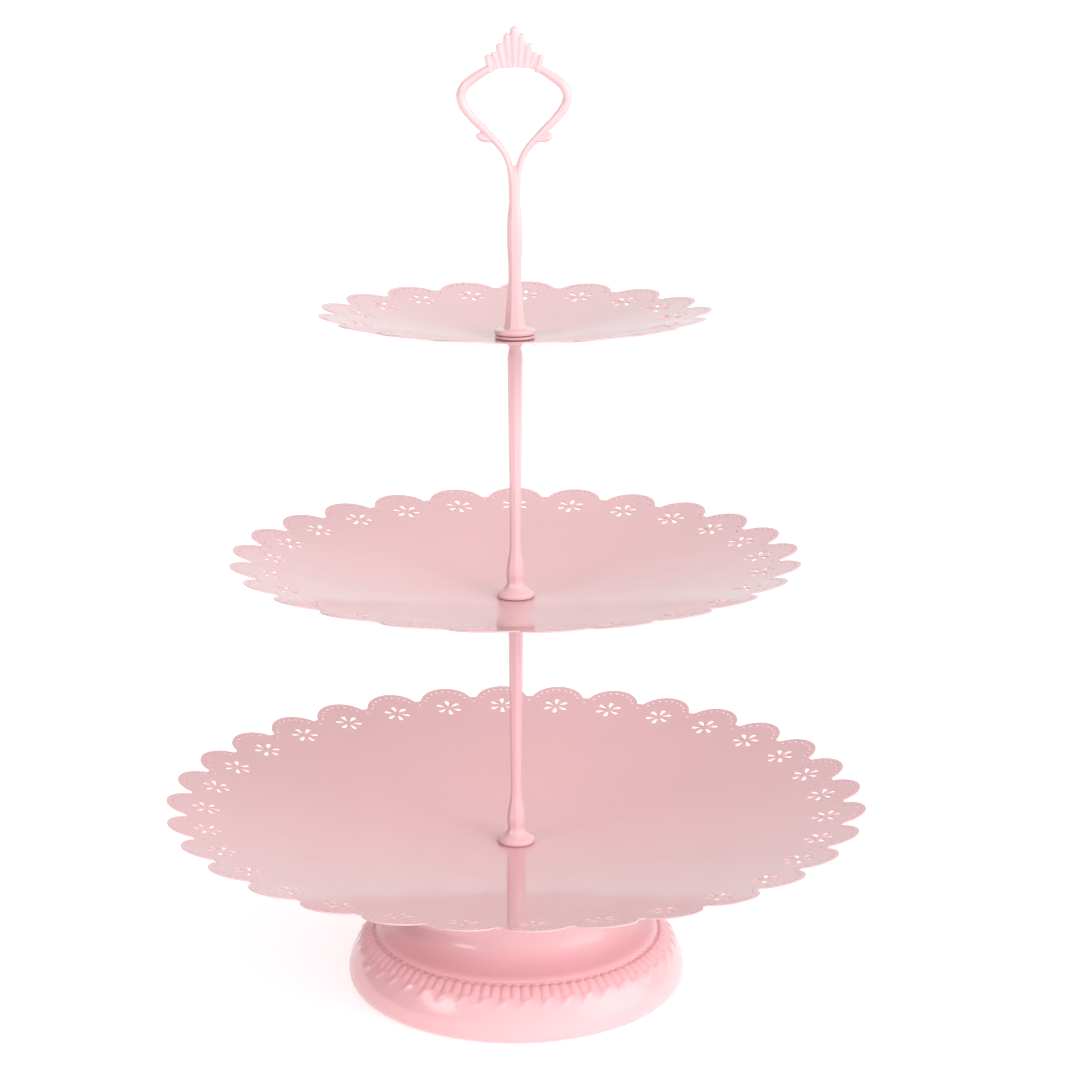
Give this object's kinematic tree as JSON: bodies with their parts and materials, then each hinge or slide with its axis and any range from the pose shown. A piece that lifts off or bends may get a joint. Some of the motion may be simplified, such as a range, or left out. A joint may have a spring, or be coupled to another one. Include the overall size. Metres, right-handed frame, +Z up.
{
  "type": "tiered cake stand",
  "caption": "Tiered cake stand: scalloped, shallow metal dishes on a central screwed pole with a crown-shaped carrying loop and a round hollow pedestal.",
  "frame": {"origin": "on the floor under the middle of the pedestal, on the pole's axis", "axes": "+Z up along the pole, the crown loop lies in the XZ plane, -Y faces the user"},
  "size_m": [0.2994, 0.2994, 0.4084],
  "materials": {
    "pink_enamel": "glossy baked enamel, very slightly uneven",
    "clear_rubber": "satin, milky silicone rubber",
    "zinc_steel": "bright zinc plating"
  },
  "bodies": {
    "base": {"pedestal_base": "pink_enamel", "foot_pad_1": "clear_rubber", "foot_pad_2": "clear_rubber", "foot_pad_3": "clear_rubber", "foot_pad_4": "clear_rubber", "seat_gasket": "clear_rubber", "base_washer": "zinc_steel", "base_lock_washer": "zinc_steel", "base_bolt": "zinc_steel"},
    "bottom_tier": {"bottom_plate": "pink_enamel"},
    "lower_washer": {"lower_washer": "clear_rubber"},
    "lower_rod": {"lower_rod": "pink_enamel"},
    "middle_tier": {"middle_plate": "pink_enamel"},
    "middle_washer": {"middle_washer": "clear_rubber"},
    "upper_rod": {"upper_rod": "pink_enamel"},
    "top_tier": {"top_plate": "pink_enamel"},
    "handle_washer": {"handle_washer": "pink_enamel"},
    "handle": {"crown_handle": "pink_enamel"}
  },
  "joints": [
    {"name": "bottom_plate_turn", "type": "hinge", "parent": "base", "child": "bottom_tier", "pos_m": [0, 0, 0.061], "axis": [0, 0, 1], "continuous": true},
    {"name": "lower_rod_lift", "type": "slide", "parent": "base", "child": "lower_washer", "axis": [0, 0, 1], "range_m": [0, 0.0098]},
    {"name": "lower_rod_unscrew", "type": "hinge", "parent": "lower_washer", "child": "lower_rod", "pos_m": [0, 0, 0.0627], "axis": [0, 0, 1], "range_deg": [0, 5055]},
    {"name": "middle_plate_turn", "type": "hinge", "parent": "lower_rod", "child": "middle_tier", "pos_m": [0, 0, 0.1713], "axis": [0, 0, 1], "continuous": true},
    {"name": "upper_rod_lift", "type": "slide", "parent": "lower_rod", "child": "middle_washer", "axis": [0, 0, 1], "range_m": [0, 0.00805]},
    {"name": "upper_rod_unscrew", "type": "hinge", "parent": "middle_washer", "child": "upper_rod", "pos_m": [0, 0, 0.173], "axis": [0, 0, 1], "range_deg": [0, 4155]},
    {"name": "top_plate_turn", "type": "hinge", "parent": "upper_rod", "child": "top_tier", "pos_m": [0, 0, 0.2816], "axis": [0, 0, 1], "continuous": true},
    {"name": "handle_lift", "type": "slide", "parent": "upper_rod", "child": "handle_washer", "axis": [0, 0, 1], "range_m": [0, 0.00735]},
    {"name": "handle_unscrew", "type": "hinge", "parent": "handle_washer", "child": "handle", "pos_m": [0, 0, 0.284], "axis": [0, 0, 1], "range_deg": [0, 3795]}
  ],
  "couplings": [
    {"joint": "lower_rod_unscrew", "follows": "lower_rod_lift", "rad_per_m": 8976},
    {"joint": "upper_rod_unscrew", "follows": "upper_rod_lift", "rad_per_m": 8976},
    {"joint": "handle_unscrew", "follows": "handle_lift", "rad_per_m": 8976}
  ]
}
